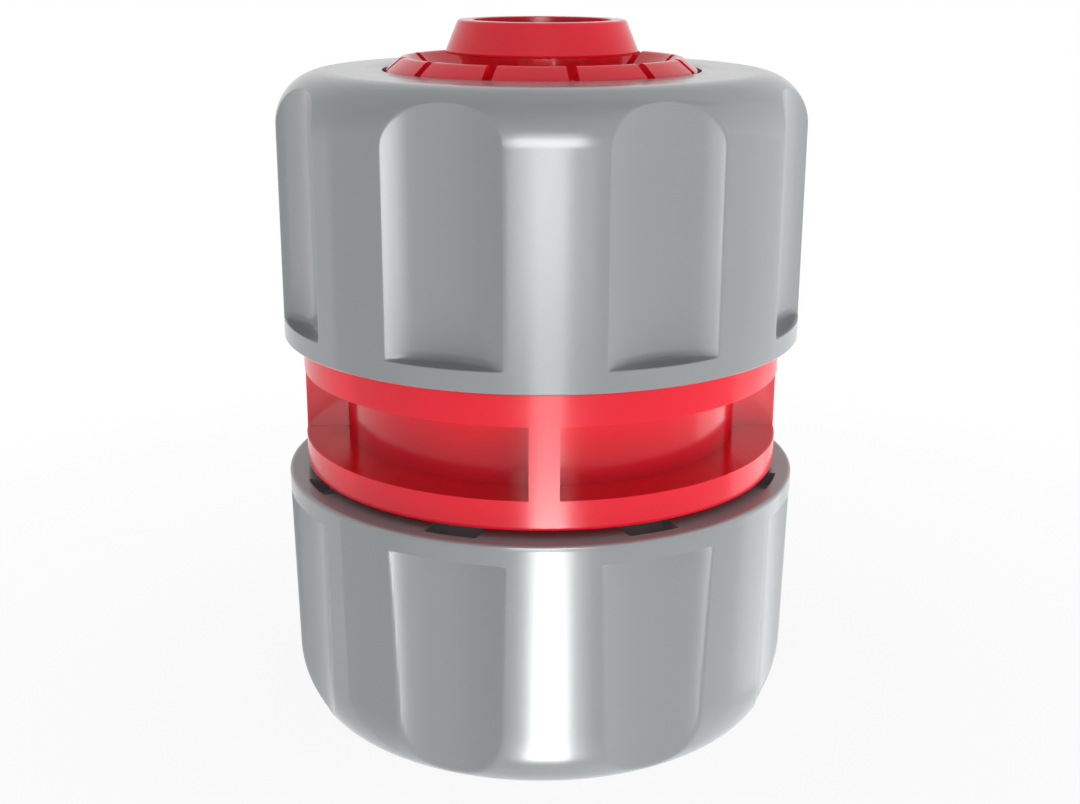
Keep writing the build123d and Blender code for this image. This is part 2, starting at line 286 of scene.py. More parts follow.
def strips(rows, columns):
    """Quads between rows of vertex numbers, for the chosen columns, closed round the axis."""
    a = rows[:-1][:, columns]
    b = rows[:-1][:, (columns + 1) % rows.shape[1]]
    c = rows[1:][:, (columns + 1) % rows.shape[1]]
    d = rows[1:][:, columns]
    return np.stack([a, b, c, d], axis=-1).reshape(-1, 4)


def held(points, margin=0.1):
    """The same line with extra points near both ends of each long stretch, to keep a smooth round short."""
    line = [points[0]]
    for start, end in zip(points[:-1], points[1:]):
        a, b = np.array(start, float), np.array(end, float)
        length = np.linalg.norm(b - a)
        if length > 6 * margin:
            line += [tuple(a + (b - a) * margin / length), tuple(b - (b - a) * margin / length)]
        line.append(end)
    return line


def new_mesh_object(name, points, faces, material, sharp=32):
    """A mesh object in metres from points in millimetres, smooth except where faces meet sharply."""
    mesh = bpy.data.meshes.new(name)
    mesh.from_pydata((np.asarray(points) * MM).tolist(), [], faces)
    mesh.update()
    mesh.materials.append(material)
    obj = bpy.data.objects.new(name, mesh)
    bpy.context.scene.collection.objects.link(obj)
    mesh.shade_smooth()
    mesh.set_sharp_from_angle(angle=math.radians(sharp))
    return obj


def apply_all(obj):
    """Applies the object's modifiers and leaves their result as its mesh."""
    graph = bpy.context.evaluated_depsgraph_get()
    done = bpy.data.meshes.new_from_object(obj.evaluated_get(graph))
    obj.modifiers.clear()
    obj.data = done


def corner_points(obj):
    """The mesh's points in millimetres, as an array."""
    points = np.empty(3 * len(obj.data.vertices), np.float32)
    obj.data.vertices.foreach_get("co", points)
    return points.reshape(-1, 3) / MM


def set_painted_shade(obj, values):
    """Stores painted shade for each point, from 0 to 1, for the finish to darken and dull the surface with.
    """
    layer = obj.data.attributes.new("painted_shade", "FLOAT", "POINT")
    layer.data.foreach_set("value", np.clip(values, 0, 1).astype(np.float32))


def turned_piece(name, material, common, plain, cut, fan, narrow_is_cut, carve=None, sharp=32):
    """A closed turned shape whose outline is common + plain in some columns and common + cut in others.

    common runs from the feature's end B round to its start A. plain and cut are the points between A and B.
    """
    angles, narrow = fan
    count = len(narrow)

    def grid(outline):
        rz = np.asarray(outline, float).reshape(-1, 2)
        turn = angles(rz[:, 0]).reshape(-1, count)
        r = np.repeat(rz[:, :1], count, axis=1)
        z = np.repeat(rz[:, 1:], count, axis=1)
        if carve is not None:
            r, z = carve(r, z, turn)
        return np.stack([r * np.sin(turn), -r * np.cos(turn), z], axis=-1)

    blocks = [grid(held(common)), grid(plain), grid(cut)]
    sizes = np.cumsum([0] + [b.shape[0] * count for b in blocks])
    base, on, off = [np.arange(low, high).reshape(-1, count) for low, high in zip(sizes[:-1], sizes[1:])]
    is_cut = narrow if narrow_is_cut else ~narrow
    faces = [strips(base, np.arange(count)),
             strips(np.vstack([base[-1:], on, base[:1]]), np.flatnonzero(~is_cut)),
             strips(np.vstack([base[-1:], off, base[:1]]), np.flatnonzero(is_cut))]
    quads = np.vstack(faces).tolist()
    for column in np.flatnonzero(is_cut != np.roll(is_cut, 1)):
        loop = [base[-1, column], *on[:, column], base[0, column], *off[::-1, column]]
        quads.append([int(n) for n in (loop[::-1] if is_cut[column] else loop)])
    points = np.vstack([b.reshape(-1, 3) for b in blocks])
    used = np.unique(np.concatenate([np.asarray(q) for q in quads]))
    renumber = np.full(len(points), -1)
    renumber[used] = np.arange(len(used))
    quads = [[int(renumber[n]) for n in q] for q in quads]
    obj = new_mesh_object(name, points[used], quads, material, sharp)
    print(name, "faces:", len(obj.data.polygons))
    return obj


def round_piece(name, material, outline, columns=192, soft=0.12, sharp=32):
    """A plain turned shape, closed, with its corners softened."""
    shape = softened(outline, soft)
    angles = np.linspace(0, 2 * np.pi, columns, endpoint=False)
    r, z = shape[:, :1], np.repeat(shape[:, 1:], columns, axis=1)
    points = np.stack([r * np.sin(angles), -r * np.cos(angles), z], axis=-1)
    rows = np.arange(len(shape) * columns).reshape(-1, columns)
    faces = strips(np.vstack([rows, rows[:1]]), np.arange(columns)).tolist()
    obj = new_mesh_object(name, points.reshape(-1, 3), faces, material, sharp)
    print(name, "faces:", len(obj.data.polygons))
    return obj


# %% [markdown]
# ## Concave grips
#
# Both grey pieces have eight shallow hollows for the fingers, each cut by a round upright bar. Seen from
# the axis, the near side of such a bar lies at a radius of d cos(a) - sqrt(c^2 - d^2 sin^2(a)), where d is
# the distance of its middle and c its radius. The surface takes the smaller of that and its own radius,
# with a soft minimum, so that the edges of the grips keep a small round.


# %% Grips
GRIPS = 8
GRIP_TURN = math.radians(25.3)


def soft_min(a, b, k):
    """The smaller of two arrays, blended over a width k where they are nearly equal."""
    h = np.clip(0.5 + 0.5 * (b - a) / k, 0, 1)
    return b * (1 - h) + a * h - k * h * (1 - h)


def grip_radius(turn, outer, floor, width):
    """The radius of the near side of the nearest grip bar at each angle, or far out between bars."""
    edge = math.sqrt(outer**2 - (width / 2) ** 2)
    depth = edge - floor
    bar = ((width / 2) ** 2 + depth**2) / (2 * depth)
    middle = floor + bar
    step = 2 * np.pi / GRIPS
    a = (turn - GRIP_TURN + step / 2) % step - step / 2
    inside = np.clip(bar**2 - (middle * np.sin(a)) ** 2, 0, None)
    near = middle * np.cos(a) - np.sqrt(inside)
    return np.where(np.abs(a) < math.radians(17), near, outer + 3)


# %% [markdown]
# ## The clamp nut
#
# The nut is a cup turned upside down: a plain band at the foot, the grips, a shoulder with a 3.7 mm round,
# a flat top and a cone inside that presses on the collet's fingers. The grips stop at the foot in a small
# slanted ledge. A share of the grip's cut is given for every row of the outline, so that the ledge is a
# set of rows in which this share grows from none to all. Shade is painted on the ledge: it is darkest
# where the grip is deepest, and fades out upwards.

# %% Nut surface
SHOULDER = 3.7
LEDGE = NUT_LOW + 1.45
NUT_BORE_R = 15.9
THROAT_R = COLLET_R + 0.25
HOLE_R = 11.35
STEP_Z = NUT_TOP - 8.35
NUT_GRIP_WIDTH, NUT_GRIP_DEPTH = 8.22, 1.34
EDGE_ROUND = 0.04
LEDGE_SLOPE, LEDGE_RISE = 0.06, 0.7


def nut_outline():
    """The closed outline of the nut and, for every point, the share of the grip's cut."""
    # The foot and the plain band over it, the ledge and the grips.
    rows = [(NUT_BORE_R + 0.8, NUT_LOW, 0), (NUT_R - 0.2, NUT_LOW, 0), (NUT_R - 0.07, NUT_LOW, 0),
            (NUT_R, NUT_LOW + 0.07, 0), (NUT_R, NUT_LOW + 0.17, 0), (NUT_R, NUT_LOW + 0.8, 0),
            (NUT_R, LEDGE - 0.08, 0)]
    ledge = [(0.0, 0.0), (0.06, 0.02), (0.3, 0.04), (0.6, 0.07), (0.85, 0.13), (0.96, 0.25), (1.0, 0.46)]
    rows += [(NUT_R, LEDGE + lift, share) for share, lift in ledge]
    rows += [(NUT_R, LEDGE + lift, 1) for lift in (LEDGE_RISE, 1.0, 1.5)]
    rows += [(NUT_R, z, 1) for z in (33.5, 36.0, 39.0, 41.5, 43.0, NUT_TOP - SHOULDER)]
    # The shoulder, the flat top, the hole and the cone, and the inside down to the foot.
    bend = np.radians(np.linspace(0, 90, 76)[1:])
    rows += [(NUT_R - SHOULDER * (1 - math.cos(b)), NUT_TOP - SHOULDER * (1 - math.sin(b)), 1) for b in bend]
    rows += [(14.4, NUT_TOP, 0), (13.2, NUT_TOP, 0), (HOLE_R + 0.22, NUT_TOP, 0),
             (HOLE_R + 0.06, NUT_TOP - 0.06, 0), (HOLE_R + 0.04, NUT_TOP - 0.22, 0),
             (THROAT_R, NUT_TOP - 6.0, 0), (THROAT_R, STEP_Z + 1.1, 0), (COLLET_R - 0.2, STEP_Z + 0.7, 0),
             (COLLET_R - 0.2, STEP_Z + 0.2, 0), (THROAT_R, STEP_Z, 0), (NUT_BORE_R, STEP_Z, 0),
             (NUT_BORE_R, NUT_LOW + 0.8, 0)]
    return np.array(rows, float)


def nut_columns(inner=50, outer=14):
    """Angles round the nut, closer together near the edges of the grips."""
    edge = math.asin(NUT_GRIP_WIDTH / 2 / NUT_R)
    step = 2 * math.pi / GRIPS
    cell = np.concatenate([crowded(-edge, edge, inner), crowded(edge, step - edge, outer)[1:-1]])
    return (GRIP_TURN + step * np.arange(GRIPS)[:, None] + cell).ravel()


def nut_sheet(name, material):
    """A closed turned surface with grips: radius = outline radius less its share of the bar's cut."""
    turn = nut_columns()
    r0, z0, share = nut_outline().T[:, :, None]
    floor = NUT_R - NUT_GRIP_DEPTH
    cut = soft_min(r0 + 0 * turn, grip_radius(turn, NUT_R, floor, NUT_GRIP_WIDTH) + 0 * r0, EDGE_ROUND)
    r = r0 + share * (cut - r0)
    z = z0 + LEDGE_SLOPE * np.where((share > 0) & (z0 < LEDGE + 0.6), r0 - r, 0)
    points = np.stack([r * np.sin(turn), -r * np.cos(turn), z], axis=-1)
    rows = np.arange(r.size).reshape(r.shape)
    faces = strips(np.vstack([rows, rows[:1]]), np.arange(len(turn))).tolist()
    obj = new_mesh_object(name, points.reshape(-1, 3), faces, material, 34)
    # Painted shade on the ledge, darkest where the grip is deepest and fading out upwards.
    fade = 0.8 * (z0 > LEDGE - 0.01) * np.clip((LEDGE + LEDGE_RISE - z0) / LEDGE_RISE, 0, 1)
    set_painted_shade(obj, (fade * np.clip((r0 - cut) / (NUT_R - floor), 0, 1) ** 0.5).ravel())
    print(name, "faces:", len(obj.data.polygons))
    return obj


nut = nut_sheet("nut_shell", grey_plastic)
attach(nut, "nut")
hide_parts("clamp_nut")

# %% [markdown]
# ## The release sleeve
#
# The sleeve tapers a little towards its foot and ends in a rounding that is twice as high as it is deep.
# Its grips start under a plain band at the rim and run out in the rounding by themselves, because the
# rounding draws the surface inside the bar. The rim's flat face has eight pockets, made as cut columns.

# %% Sleeve surface
WAIST_R = RIM_R - 0.24
ROUND_H, ROUND_RUN = 4.7, 2.3
SLEEVE_BORE_R, ROOF_HOLE_R, FOOT_LIP_R = 15.9, 14.2, 15.3
ROOF_Z = SLEEVE_TOP - 1.37
BAND_Z, BAND_BLEND = 17.0, 0.16
SLEEVE_GRIP_WIDTH, SLEEVE_GRIP_DEPTH = 8.5, 1.36
POCKET_WIDTH, POCKET_DEPTH = 3.75, 1.0


def sleeve_outline():
    """Outline of the outside and inside of the sleeve, without the stretch of the rim that has pockets."""
    foot_r = WAIST_R - ROUND_RUN
    bend = np.radians(np.linspace(0, 90, 26))
    rows = [(SLEEVE_BORE_R, 4.15), (FOOT_LIP_R, 3.55), (FOOT_LIP_R, 0.16), (15.42, 0.03), (15.6, 0.0),
            (16.1, 0.0)]
    rows += [(foot_r + ROUND_RUN * math.sin(b), ROUND_H * (1 - math.cos(b))) for b in bend]
    wall = [6.0, 8.0, 10.0, 12.0, 14.0, 15.4, 16.3, 16.72, 16.84, 16.9, 16.94, 16.97, 17.0, 17.05, 17.3]
    slope = (RIM_R - WAIST_R) / (SLEEVE_TOP - 0.2 - ROUND_H)
    rows += [(WAIST_R + slope * (z - ROUND_H), z) for z in wall]
    rows += [(RIM_R, SLEEVE_TOP - 0.22), (RIM_R - 0.05, SLEEVE_TOP - 0.08),
             (RIM_R - 0.14, SLEEVE_TOP - 0.02), (RIM_R - 0.26, SLEEVE_TOP)]
    return rows


def sleeve_carve(r, z, turn):
    """Cuts the grips: all of the bar's cut up to the band, and none from the band on."""
    share = np.clip((BAND_Z - z) / BAND_BLEND, 0, 1)
    share = share * share * (3 - 2 * share) * (r > SLEEVE_BORE_R + 0.4)
    near = grip_radius(turn, RIM_R - 0.03, RIM_R - SLEEVE_GRIP_DEPTH, SLEEVE_GRIP_WIDTH)
    return r + share * (soft_min(r, near, EDGE_ROUND) - r), z


pocket_floor = SLEEVE_TOP - POCKET_DEPTH
pocket_edge = math.asin(POCKET_WIDTH / 2 / RIM_R)
grip_edge = math.asin(SLEEVE_GRIP_WIDTH / 2 / RIM_R)
grip_share = (grip_edge - pocket_edge) / (2 * math.pi / GRIPS - 2 * pocket_edge)
roof = [(ROOF_HOLE_R + 0.12, SLEEVE_TOP), (ROOF_HOLE_R, SLEEVE_TOP - 0.12), (ROOF_HOLE_R, ROOF_Z + 0.12),
        (ROOF_HOLE_R + 0.12, ROOF_Z), (SLEEVE_BORE_R, ROOF_Z)]
sleeve = turned_piece(
    "sleeve_shell", grey_plastic,
    common=[(16.0, SLEEVE_TOP), *roof, *sleeve_outline(), (18.0, SLEEVE_TOP)],
    plain=[(17.3, SLEEVE_TOP), (16.6, SLEEVE_TOP)],
    cut=[(18.0, pocket_floor), (16.0, pocket_floor)],
    fan=column_fan(GRIPS, POCKET_WIDTH / 2, 14, 64, GRIP_TURN, crease=grip_share), narrow_is_cut=True,
    carve=sleeve_carve, sharp=34)
x, y, z = corner_points(sleeve).T
r = np.hypot(x, y)
# Painted shade on the rim's flat top face, which lies under the cage.
set_painted_shade(sleeve, 0.28 * ((z > SLEEVE_TOP - 0.05) & (r < RIM_R - 0.2)))
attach(sleeve, "sleeve")
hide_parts("release_sleeve")

# %% [markdown]
# ## The red body
#
# One moulding holds the spigot with its barbs, the barrel that takes the nut's thread, the cage and the
# socket tube. Its outline runs once round the wall of the whole tube. The cage's windows are wide cut
# columns, and the four webs between them are narrow plain ones.

# %% Body surface
DRUM_R = CAGE_R - 3.13
CAGE_LOW = SLEEVE_TOP + 0.55
WINDOW_LOW = CAGE_LOW + 2.11
WINDOW_TOP = WINDOW_LOW + 5.07
CAGE_TOP = WINDOW_TOP + 2.25
TUBE_R, SOCKET_R, SEAL_R, WATER_R, NECK_R = 11.3, 9.1, 8.2, 4.5, 5.75
BARREL_R, BARREL_BORE_R, BARREL_TOP = 14.9, 13.0, 38.4
HOLLOW_R, HOLLOW_TOP, SKIRT_R = 12.95, 26.5, 15.65
CONE_Z = SPIGOT_TOP - 2.3
BARBS, BARB_PITCH = 4, 3.4
WEBS, WEB_WIDTH = 4, 2.05
BODY_SHARP = 28


def body_outline():
    """The body's outline from the top edge of a window up, over and round to its lower edge."""
    # Up the cage, over the barrel's wall and across to the neck.
    rows = [(CAGE_R, WINDOW_TOP), (CAGE_R, CAGE_TOP - 0.08), (CAGE_R - 0.08, CAGE_TOP), (BARREL_R, CAGE_TOP),
            (BARREL_R, BARREL_TOP - 0.5), (BARREL_R - 0.5, BARREL_TOP), (BARREL_BORE_R, BARREL_TOP),
            (BARREL_BORE_R, CAGE_TOP), (NECK_R, CAGE_TOP)]
    # Up the barbs, over the spigot's cone and tip, and down the water way into the socket.
    for i in range(BARBS, 0, -1):
        ledge = CONE_Z - i * BARB_PITCH
        rows += [(NECK_R, ledge), (6.38, ledge), (6.45, ledge + 0.1), (NECK_R, ledge + 1.87)]
    rows += [(NECK_R, CONE_Z), (6.72, CONE_Z), (6.83, CONE_Z + 0.05), (6.86, CONE_Z + 0.18),
             (6.07, SPIGOT_TOP - 0.22), (6.0, SPIGOT_TOP - 0.08), (5.88, SPIGOT_TOP), (4.99, SPIGOT_TOP),
             (4.93, SPIGOT_TOP - 0.06), (4.9, SPIGOT_TOP - 0.9), (WATER_R, SPIGOT_TOP - 1.6),
             (WATER_R, 27.62), (SEAL_R, 25.4), (SEAL_R, 13.6), (SOCKET_R, 12.4), (SOCKET_R, 1.3)]
    # Round the mouth, past the groove of its ring and the bead of the spring's seat, and up the tube.
    rows += [(9.72, 0.68), (9.86, 0.6), (11.12, 0.6), (TUBE_R, 0.78), (TUBE_R, 0.95), (TUBE_R - 0.3, 0.95),
             (TUBE_R - 0.3, 1.35), (TUBE_R, 1.35), (TUBE_R, 10.35), (TUBE_R + 0.3, 10.75), (TUBE_R, 10.75)]
    # Round the hollow in the drum, and under the cage to its outside.
    rows += [(TUBE_R, HOLLOW_TOP), (HOLLOW_R, HOLLOW_TOP), (HOLLOW_R, 18.52), (SKIRT_R, 18.52),
             (SKIRT_R, CAGE_LOW), (CAGE_R - 0.2, CAGE_LOW), (CAGE_R - 0.06, CAGE_LOW + 0.06),
             (CAGE_R, CAGE_LOW + 0.2), (CAGE_R, WINDOW_LOW)]
    return rows


body = turned_piece(
    "body_shell", red_plastic, common=body_outline(),
    plain=[(CAGE_R, z) for z in (22.5, 24.0, 25.0)],
    cut=[(CAGE_R - 0.15, WINDOW_LOW), (DRUM_R, WINDOW_LOW), (DRUM_R, WINDOW_TOP),
         (CAGE_R - 0.15, WINDOW_TOP)],
    fan=column_fan(WEBS, WEB_WIDTH / 2, 6, 58, math.radians(0.8)), narrow_is_cut=False, sharp=BODY_SHARP)

# %% [markdown]
# ## Windows for the claws
#
# Eight windows in the wall of the socket tube let the claws through. They lie at other angles than the
# webs, so they are cut afterwards with a Boolean modifier and one mesh of eight blocks. Each block's faces
# point outwards, or else the modifier would leave the wall as it is.

# %% Cut the claw windows
CLAWS = 8
CLAW_WINDOW = {"width": 3.7, "near": 7.1, "far": 12.3, "low": 4.45, "high": 8.15}
BLOCK = np.array([[0, 2, 3, 1], [4, 5, 7, 6], [0, 1, 5, 4], [2, 6, 7, 3], [0, 4, 6, 2], [1, 3, 7, 5]])


def block_points(turn, width, near, far, low, high):
    """The eight corners of a block that faces outwards at an angle."""
    x, r, z = np.meshgrid([-width / 2, width / 2], [near, far], [low, high], indexing="ij")
    x, r, z = x.ravel(), r.ravel(), z.ravel()
    return np.stack([r * np.sin(turn) + x * np.cos(turn), x * np.sin(turn) - r * np.cos(turn), z], axis=-1)


turns = GRIP_TURN + np.arange(CLAWS) * 2 * math.pi / CLAWS
corners = np.vstack([block_points(t, **CLAW_WINDOW) for t in turns])
faces = np.vstack([BLOCK + 8 * i for i in range(CLAWS)]).tolist()
blocks = new_mesh_object("window_blocks", corners, faces, red_plastic)
opening = body.modifiers.new("claw windows", "BOOLEAN")
opening.operation = "DIFFERENCE"
opening.solver = "EXACT"
opening.object = blocks
apply_all(body)
bpy.data.objects.remove(blocks)
body.data.shade_smooth()
body.data.set_sharp_from_angle(angle=math.radians(BODY_SHARP))
x, y, z = corner_points(body).T
r = np.hypot(x, y)
# Painted shade: darker towards the bottom of each window and down the spigot's bore, with a painted shadow
# along the cage's top edge under the nut.
in_window = (z > WINDOW_LOW - 0.03) & (z < WINDOW_TOP + 0.03) & (r > DRUM_R - 0.1) & (r < CAGE_R - 0.06)
rise = (z - WINDOW_LOW) / (WINDOW_TOP - WINDOW_LOW)
down_the_bore = (r < WATER_R + 0.5) * (SPIGOT_TOP - z) / 0.5
under_nut = (z > CAGE_TOP - 0.1) & (z < CAGE_TOP + 0.1) & (r > 15.5)
set_painted_shade(body, in_window * (0.85 - 0.75 * rise) + down_the_bore + 1.6 * under_nut)
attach(body, "socket_body")
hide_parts("hose_body")
print("body faces:", len(body.data.polygons))

# %% [markdown]
# ## The collet
#
# The collet is a ring with twelve flexible fingers. The slots between the fingers are narrow cut columns,
# whose outline goes straight across the slot's floor, while the fingers' outline climbs the conical outside,
# crosses the narrow crown, goes down the funnel that leads the hose in, and ends over the teeth that bite
# into the hose.

# %% Collet surface
FINGERS, SLOT_WIDTH, SLOT_LOW = 12, 0.7, 34.0
HOSE_ROOM_R, CROWN_HOLE_R, TOOTH_BASE_R = 11.1, 7.05, 7.6
TOOTH_PITCH = 1.1


def finger_outline():
    """The outline of a finger from the outside of the slot's floor, over the crown, to its inside."""
    rows = [(COLLET_R, 39.0), (COLLET_R - 0.5, 39.3), (COLLET_R - 0.5, 41.15), (COLLET_R, 41.55),
            (11.17, CROWN_Z - 1.1), (11.1, CROWN_Z - 0.9), (11.02, CROWN_Z - 0.8), (10.16, CROWN_Z - 0.1),
            (10.04, CROWN_Z - 0.03), (9.92, CROWN_Z), (9.74, CROWN_Z), (9.62, CROWN_Z - 0.05),
            (9.52, CROWN_Z - 0.14), (7.3, CROWN_Z - 2.36), (7.12, CROWN_Z - 2.5),
            (CROWN_HOLE_R, CROWN_Z - 2.7)]
    head = CROWN_Z - 5.2
    for low in (head + TOOTH_PITCH, head):
        rows += [(CROWN_HOLE_R, low + 0.85 * TOOTH_PITCH), (TOOTH_BASE_R, low)]
    return rows + [(HOSE_ROOM_R, head - 1.575)]


collet = turned_piece(
    "collet_shell", red_plastic,
    common=[(HOSE_ROOM_R, SLOT_LOW), (HOSE_ROOM_R, COLLET_LOW), (COLLET_R - 0.3, COLLET_LOW),
            (COLLET_R, COLLET_LOW + 0.3), (COLLET_R, SLOT_LOW)],
    plain=finger_outline(), cut=[],
    fan=column_fan(FINGERS, SLOT_WIDTH / 2, 2, 14, math.radians(11.0)), narrow_is_cut=True, sharp=28)
x, y, z = corner_points(collet).T
# Painted shade in the funnel inside the crown.
in_funnel = np.hypot(x, y) < 9.6
set_painted_shade(collet, 0.3 * in_funnel)
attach(collet, "collet")
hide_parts("hose_collet")

# %% [markdown]
# ## The thread
#
# A coarse thread with a 3 mm pitch joins the nut to the barrel. Each half is a ridge with a trapezium
# section, carried along a helix: the angle grows evenly with the height. The nut's ridge starts a little
# higher than the barrel's and is turned back so far that it lies half a pitch above it everywhere. Both fade
# out at their ends.

# %% Thread ridges
PITCH = 3.0
BARREL_THREAD_LOW, NUT_THREAD_LOW, THREAD_RUN = 29.9, 30.4, 7.4
THREAD_START, THREAD_DEPTH = 0.4, 0.78


def thread_ridge(name, material, root_r, crest_r, low, high, phase):
    """A ridge along a helix: root and crest radii, with both ends tapering into the wall."""
    turns_made = (high - low) / PITCH
    t = np.linspace(0, 1, int(turns_made * 96))
    angle = 2 * np.pi * turns_made * t + phase
    middle = low + (high - low) * t
    fade = np.clip(np.minimum(t, 1 - t) * turns_made * 6, 0.02, 1)
    sink = 0.15 * np.sign(root_r - crest_r)
    crest = root_r + (crest_r - root_r) * fade
    root = root_r + 0 * t
    r = np.stack([root + sink, root, crest, crest, root, root + sink], axis=1)
    half = 0.6 + 0 * t
    dz = np.stack([-half - 0.02, -half, -0.28 * fade, 0.28 * fade, half, half + 0.02], axis=1)
    a = angle[:, None]
    points = np.stack([r * np.sin(a), -r * np.cos(a), middle[:, None] + dz], axis=-1)
    n, m = r.shape
    rows = np.arange(n * m).reshape(n, m)
    faces = strips(rows, np.arange(m))
    if crest_r > root_r:
        faces = faces[:, ::-1]
    caps = [rows[0].tolist(), rows[-1][::-1].tolist()]
    if crest_r < root_r:
        caps = [c[::-1] for c in caps]
    return new_mesh_object(name, points.reshape(-1, 3), faces.tolist() + caps, material, 30)


barrel_thread = thread_ridge("barrel_thread", red_plastic, BARREL_R, BARREL_R + THREAD_DEPTH,
                             BARREL_THREAD_LOW, BARREL_THREAD_LOW + THREAD_RUN, THREAD_START)
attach(barrel_thread, "socket_body")
turned_back = 2 * np.pi * (NUT_THREAD_LOW - BARREL_THREAD_LOW - PITCH / 2) / PITCH
nut_thread = thread_ridge("nut_thread", grey_plastic, NUT_BORE_R, NUT_BORE_R - THREAD_DEPTH,
                          NUT_THREAD_LOW, NUT_THREAD_LOW + THREAD_RUN, THREAD_START + turned_back)
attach(nut_thread, "nut")

# %% [markdown]
# ## Rings inside the sleeve
#
# The lock ring's cone holds the claws in. The seat ring carries the spring, and the mouth ring stops the
# sleeve at the end of its stroke. They are plain turned shapes, and one sees them from below and where the
# sleeve is pushed down, so they get smooth surfaces too.

# %% Rings
RING_BORE_R = TUBE_R + 0.03
BEAD_R = RING_BORE_R - 0.3
LOCK_CONE_LOW_R, LOCK_CONE_TOP_R = 12.65, 15.01
rings = {
    "lock_ring": ("sleeve", natural_plastic, "natural_plastic",
                  [(LOCK_CONE_LOW_R, LOCK_LOW), (LOCK_R - 0.2, LOCK_LOW), (LOCK_R, LOCK_LOW + 0.2),
                   (LOCK_R, LOCK_TOP), (LOCK_CONE_TOP_R, LOCK_TOP)]),
    "mouth_ring": ("socket_body", dark_plastic, "dark_plastic",
                   [(RING_BORE_R, MOUTH_LOW), (MOUTH_R - 0.25, MOUTH_LOW), (MOUTH_R, MOUTH_LOW + 0.25),
                    (MOUTH_R, MOUTH_TOP), (RING_BORE_R, MOUTH_TOP), (RING_BORE_R, MOUTH_TOP - 0.3),
                    (BEAD_R, MOUTH_TOP - 0.4), (BEAD_R, MOUTH_TOP - 0.55), (RING_BORE_R, MOUTH_TOP - 0.62)]),
    "spring_seat": ("socket_body", dark_plastic, "dark_plastic",
                    [(RING_BORE_R, SEAT_LOW), (SEAT_R, SEAT_LOW), (SEAT_R, SEAT_TOP),
                     (SEAT_R - 0.5, SEAT_TOP), (SEAT_R - 0.7, SEAT_TOP - 0.5),
                     (RING_BORE_R, SEAT_TOP - 0.5)]),
}
for node, (moves_with, finish, slot_name, outline) in rings.items():
    piece = round_piece(node + "_shell", finish, outline)
    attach(piece, moves_with)
    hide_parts(node)

# %% [markdown]
# ## The spring
#
# A conical wire spring stands on the seat ring and presses the sleeve up. A circle of points is carried
# along a helix whose radius grows with its height, and both ends stay flat for most of a turn. The circle
# lies across the helix: one direction points away from the axis, and the other is the cross product of that
# and the wire's own direction.

# %% Spring wire along a conical helix
WIRE_R = 0.4
COIL_LOW_R, COIL_TOP_R = 13.2, 15.0
FREE_TURNS, FLAT_TURN = 3.0, 0.7
SEAT_FACE = SEAT_TOP - 0.5


def coil_line(per_turn=72):
    """Points of the wire's middle line: radius and height grow with the turns between two flat ends."""
    total = FREE_TURNS + 2 * FLAT_TURN
    turn = np.linspace(0, total, int(total * per_turn))
    share = np.clip((turn - FLAT_TURN) / FREE_TURNS, 0, 1)
    share = 0.3 * share * share * (3 - 2 * share) + 0.7 * share
    low, high = SEAT_FACE + WIRE_R + 0.02, ROOF_Z - WIRE_R - 0.02
    r = COIL_LOW_R + (COIL_TOP_R - COIL_LOW_R) * share
    a = 2 * np.pi * turn
    return np.stack([r * np.cos(a), r * np.sin(a), low + (high - low) * share], axis=1)


def wire_tube(name, line, radius, material, sides=14):
    """A round tube along a line of points, narrower at both ends and closed there by a flat cap."""
    along = np.gradient(line, axis=0)
    along /= np.linalg.norm(along, axis=1)[:, None]
    out = line * [1, 1, 0]
    out /= np.linalg.norm(out, axis=1)[:, None]
    out -= (out * along).sum(1)[:, None] * along
    out /= np.linalg.norm(out, axis=1)[:, None]
    across = np.cross(along, out)
    turn = np.linspace(0, 2 * np.pi, sides, endpoint=False)
    circle = np.cos(turn)[:, None] * out[:, None] + np.sin(turn)[:, None] * across[:, None]
    grow = np.full(len(line), radius)
    grow[[0, -1]] *= 0.6
    points = line[:, None] + grow[:, None, None] * circle
    rows = np.arange(points.shape[0] * sides).reshape(-1, sides)
    faces = strips(rows, np.arange(sides)).tolist()
    caps = [rows[0][::-1].tolist(), rows[-1].tolist()]
    return new_mesh_object(name, points.reshape(-1, 3), faces + caps, material, 50)


spring = wire_tube("spring_wire", coil_line(), WIRE_R, spring_steel)
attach(spring, "socket_body")
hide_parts("sleeve_spring")
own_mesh(spring)
print("spring faces:", len(spring.data.polygons))

# %% [markdown]
# ## Claws
#
# The eight claws are right as they come from the frame. They only need their finish, the pale acetal that
# sliding clips are moulded from.

# %% Finish on the claws
for node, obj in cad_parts.items():
    if node.startswith("latch_claw"):
        obj.data.materials.clear()
        obj.data.materials.append(natural_plastic)
print("claws:", sum(node.startswith("latch_claw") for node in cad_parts))

# %% [markdown]
# ## Floor and backdrop
#
# The picture has a white ground. The floor is pale for every ray, and rays from the camera also see it glow,
# the more the further it lies from the coupling. So it runs into the white background without an edge, and
# the soft shadow stays round the foot. It casts no shadow itself, and reflections look through it, because
# the gloss lamps shine from below, as through a lit table.

